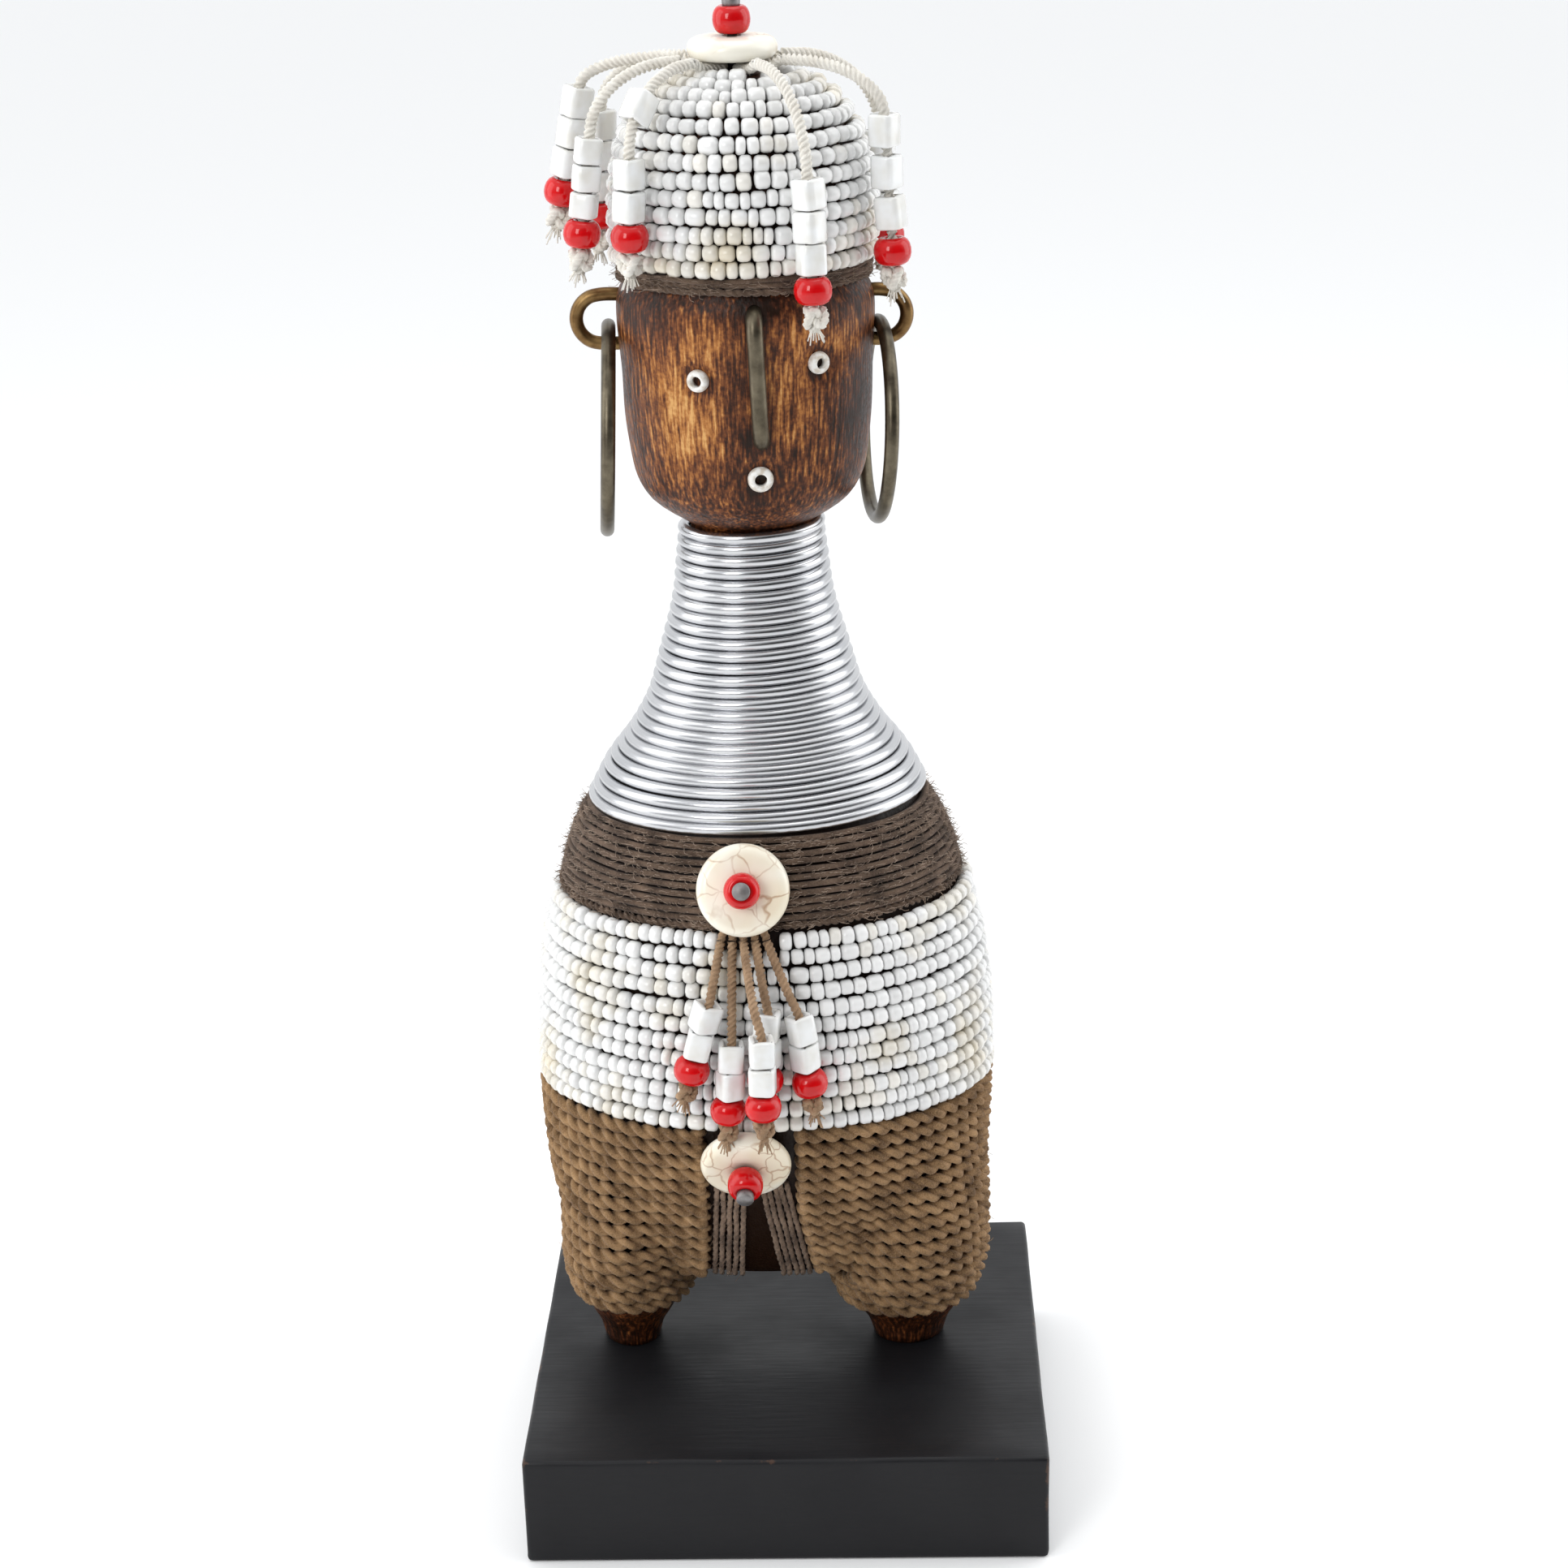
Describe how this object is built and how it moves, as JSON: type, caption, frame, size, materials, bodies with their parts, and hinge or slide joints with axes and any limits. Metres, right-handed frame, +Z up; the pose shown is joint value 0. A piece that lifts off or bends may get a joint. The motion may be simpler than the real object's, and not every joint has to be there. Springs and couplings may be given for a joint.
{
  "type": "beaded fertility doll",
  "caption": "Tall beaded wooden doll with a long coiled neck, hoop earrings and hanging bead tassels, standing on a square black block.",
  "frame": {"origin": "centre of the display block's underside", "axes": "+Z up, the doll's front faces -Y, +X to the viewer's right"},
  "size_m": [0.1, 0.096, 0.2879],
  "materials": {
    "black_paint": "satin black paint on wood, worn at the edges",
    "carved_wood": "dark, oiled and rubbed",
    "aluminium_wire": "bright drawn wire",
    "dark_yarn": "fuzzy spun yarn",
    "leg_rope": "twisted two-ply rope",
    "dull_steel": "dull",
    "red_glass": "glossy, opaque",
    "cream_stone": "polished stone with brown veins, opaque",
    "aged_brass": "aged, dark",
    "white_cotton": "twisted cotton",
    "brown_cotton": "twisted cotton",
    "white_glass": "glossy, opaque"
  },
  "bodies": {
    "doll": {"display_block": "black_paint", "crown_disc": "cream_stone", "crown_red_bead": "red_glass", "crown_nail": "dull_steel", "chest_disc": "cream_stone", "chest_red_bead": "red_glass", "chest_nail": "dull_steel", "belly_disc": "cream_stone", "belly_red_bead": "red_glass", "belly_nail": "dull_steel", "eye_bead_left": "white_glass", "eye_bead_right": "white_glass", "mouth_bead": "white_glass", "nose_staple": "aged_brass", "ear_loop_left": "aged_brass", "ear_loop_right": "aged_brass", "foot_nail_left": "dull_steel", "foot_nail_right": "dull_steel", "carved_figure": "carved_wood", "rope_winding_left": "leg_rope", "rope_winding_right": "leg_rope", "bead_band": "white_glass", "shoulder_yarn": "dark_yarn", "neck_wire": "aluminium_wire", "brow_yarn": "dark_yarn", "bead_cap": "white_glass", "crotch_yarn_left": "dark_yarn", "crotch_yarn_right": "dark_yarn", "crown_cord_crossing": "white_cotton", "chest_cord_crossing": "brown_cotton"},
    "earring_left": {"earring_left": "aged_brass"},
    "earring_right": {"earring_right": "aged_brass"},
    "crown_tassel_1": {"crown_tassel_1_cord": "white_cotton", "crown_tassel_1_beads": "white_glass", "crown_tassel_1_loose_bead": "white_glass"},
    "crown_tassel_2": {"crown_tassel_2_cord": "white_cotton", "crown_tassel_2_beads": "white_glass"},
    "crown_tassel_3": {"crown_tassel_3_cord": "white_cotton", "crown_tassel_3_beads": "white_glass"},
    "crown_tassel_4": {"crown_tassel_4_cord": "white_cotton", "crown_tassel_4_beads": "white_glass"},
    "crown_tassel_5": {"crown_tassel_5_cord": "white_cotton", "crown_tassel_5_beads": "white_glass"},
    "crown_tassel_6": {"crown_tassel_6_cord": "white_cotton", "crown_tassel_6_beads": "white_glass"},
    "crown_tassel_7": {"crown_tassel_7_cord": "white_cotton", "crown_tassel_7_beads": "white_glass"},
    "crown_tassel_8": {"crown_tassel_8_cord": "white_cotton", "crown_tassel_8_beads": "white_glass"},
    "belly_tassel_1": {"belly_tassel_1_cord": "brown_cotton", "belly_tassel_1_beads": "white_glass"},
    "belly_tassel_2": {"belly_tassel_2_cord": "brown_cotton", "belly_tassel_2_beads": "white_glass"},
    "belly_tassel_3": {"belly_tassel_3_cord": "brown_cotton", "belly_tassel_3_beads": "white_glass"},
    "belly_tassel_4": {"belly_tassel_4_cord": "brown_cotton", "belly_tassel_4_beads": "white_glass"},
    "belly_tassel_5": {"belly_tassel_5_cord": "brown_cotton", "belly_tassel_5_beads": "white_glass"}
  },
  "joints": [
    {"name": "earring_left_swing", "type": "hinge", "parent": "doll", "child": "earring_left", "pos_m": [-0.0284, 0.002, 0.2263], "axis": [0.9962, 0.0732, -0.0471], "range_deg": [-45, 45]},
    {"name": "earring_right_swing", "type": "hinge", "parent": "doll", "child": "earring_right", "pos_m": [0.0212, 0.002, 0.2263], "axis": [0.9892, 0.139, -0.0471], "range_deg": [-28, 45]},
    {"name": "crown_tassel_1_swing", "type": "hinge", "parent": "doll", "child": "crown_tassel_1", "pos_m": [-0.01115, -0.00482, 0.2772], "axis": [-0.7108, 0.7034, 0], "range_deg": [0, 60]},
    {"name": "crown_tassel_2_swing", "type": "hinge", "parent": "doll", "child": "crown_tassel_2", "pos_m": [-0.01355, -0.0009, 0.2772], "axis": [-0.3024, 0.9532, 0], "range_deg": [0, 60]},
    {"name": "crown_tassel_3_swing", "type": "hinge", "parent": "doll", "child": "crown_tassel_3", "pos_m": [-0.01385, 0.00367, 0.2772], "axis": [0.1736, 0.9848, 0], "range_deg": [0, 60]},
    {"name": "crown_tassel_4_swing", "type": "hinge", "parent": "doll", "child": "crown_tassel_4", "pos_m": [-0.01298, 0.00631, 0.2772], "axis": [0.4493, 0.8934, 0], "range_deg": [0, 60]},
    {"name": "crown_tassel_5_swing", "type": "hinge", "parent": "doll", "child": "crown_tassel_5", "pos_m": [0.00005, -0.00651, 0.2772], "axis": [-0.8862, -0.4633, 0], "range_deg": [0, 60]},
    {"name": "crown_tassel_6_swing", "type": "hinge", "parent": "doll", "child": "crown_tassel_6", "pos_m": [0.0045, -0.0016, 0.2772], "axis": [-0.3746, -0.9272, 0], "range_deg": [0, 60]},
    {"name": "crown_tassel_7_swing", "type": "hinge", "parent": "doll", "child": "crown_tassel_7", "pos_m": [0.00429, 0.00609, 0.2772], "axis": [0.4258, -0.9048, 0], "range_deg": [0, 60]},
    {"name": "crown_tassel_8_swing", "type": "hinge", "parent": "doll", "child": "crown_tassel_8", "pos_m": [-0.00273, 0.01145, 0.2772], "axis": [0.9848, -0.1736, 0], "range_deg": [0, 60]},
    {"name": "belly_tassel_1_swing", "type": "hinge", "parent": "doll", "child": "belly_tassel_1", "pos_m": [-0.0099, -0.0302, 0.121], "axis": [-1, 0, 0], "range_deg": [0, 60]},
    {"name": "belly_tassel_2_swing", "type": "hinge", "parent": "doll", "child": "belly_tassel_2", "pos_m": [-0.0078, -0.0302, 0.121], "axis": [-1, 0, 0], "range_deg": [0, 60]},
    {"name": "belly_tassel_3_swing", "type": "hinge", "parent": "doll", "child": "belly_tassel_3", "pos_m": [-0.0057, -0.0302, 0.121], "axis": [-1, 0, 0], "range_deg": [0, 45]},
    {"name": "belly_tassel_4_swing", "type": "hinge", "parent": "doll", "child": "belly_tassel_4", "pos_m": [-0.0014, -0.0302, 0.121], "axis": [-1, 0, 0], "range_deg": [0, 60]},
    {"name": "belly_tassel_5_swing", "type": "hinge", "parent": "doll", "child": "belly_tassel_5", "pos_m": [-0.0035, -0.0302, 0.121], "axis": [-1, 0, 0], "range_deg": [0, 45]}
  ],
  "couplings": [
    {"joint": "belly_tassel_5_swing", "follows": "belly_tassel_3_swing", "ratio": 1}
  ]
}
